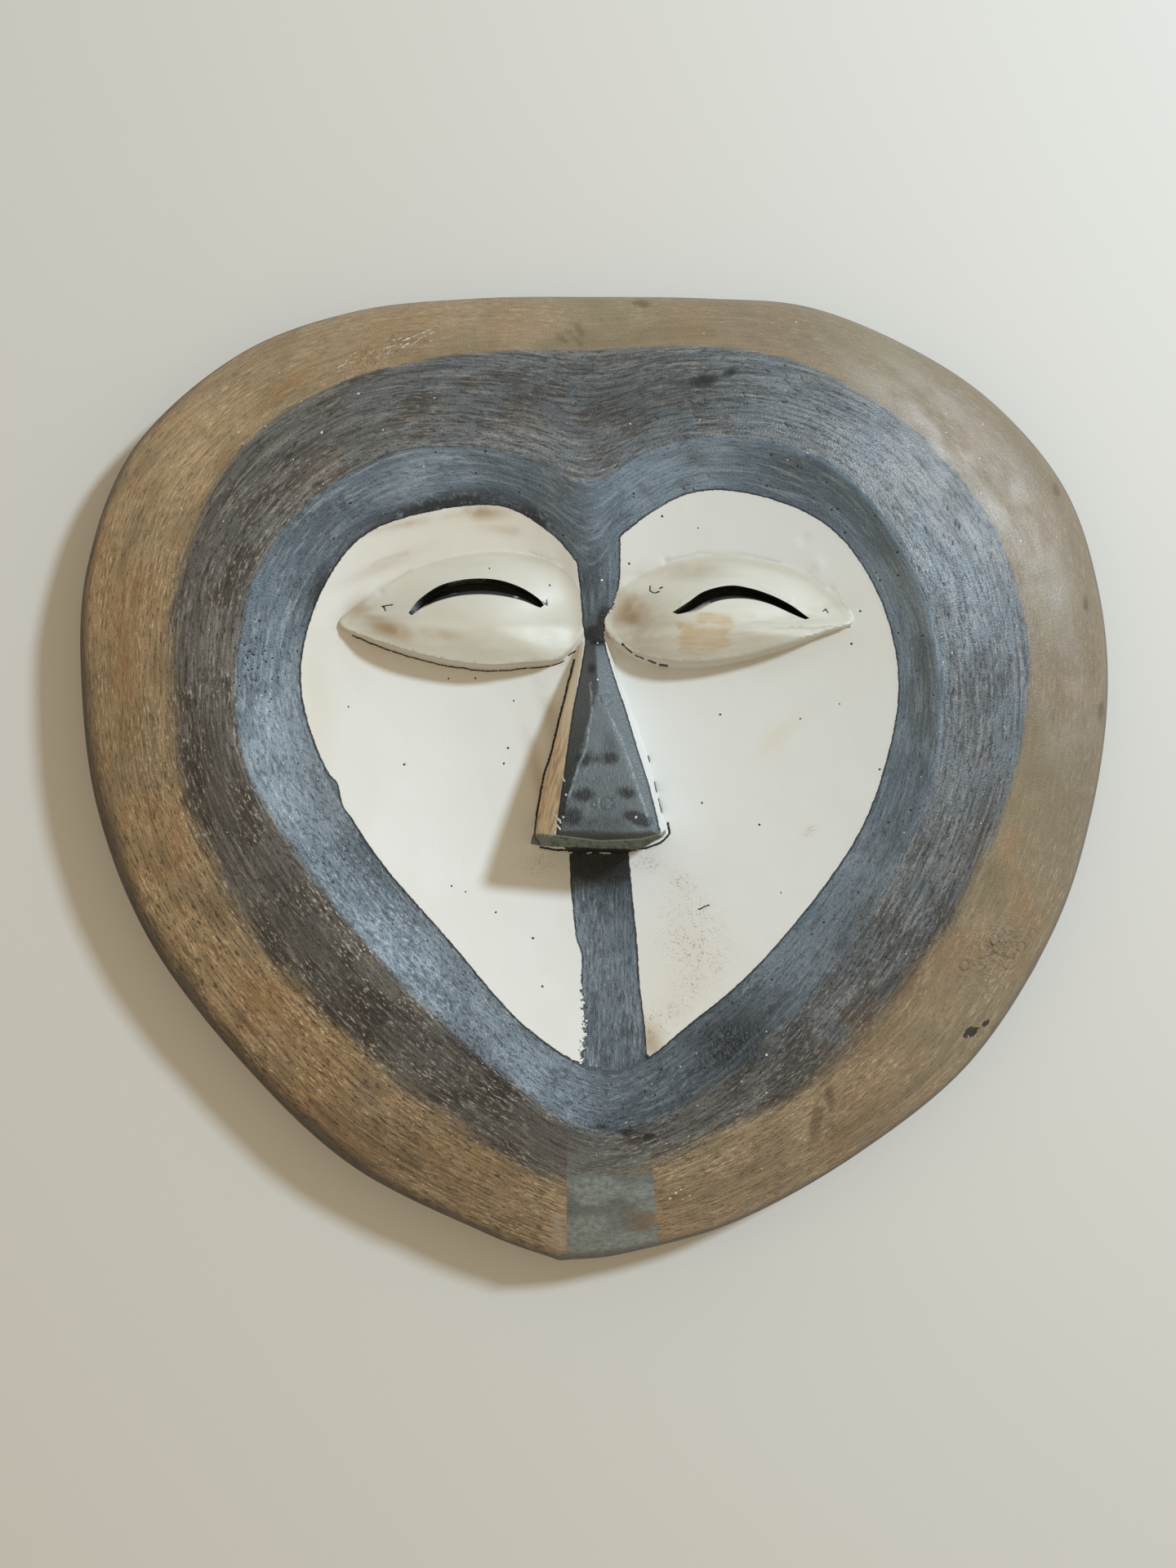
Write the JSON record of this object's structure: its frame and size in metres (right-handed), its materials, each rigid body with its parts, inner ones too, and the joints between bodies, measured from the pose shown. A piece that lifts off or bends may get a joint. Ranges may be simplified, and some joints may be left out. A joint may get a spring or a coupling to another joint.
{
  "type": "wooden face mask",
  "caption": "Round carved wooden mask with a sunken heart-shaped face, pierced eye slits and a faceted nose, hollow behind a flat rim that it lies down on.",
  "frame": {"origin": "under the middle of the outline, on the plane of the back rim", "axes": "+Z out of the face, +Y to the top of the head, +X to the right of a viewer facing the mask"},
  "size_m": [0.3023, 0.2834, 0.051],
  "materials": {
    "painted_wood": "satin, waxed and worn pigment on bare carved wood"
  },
  "bodies": {
    "root": {"mask": "painted_wood"}
  },
  "joints": []
}
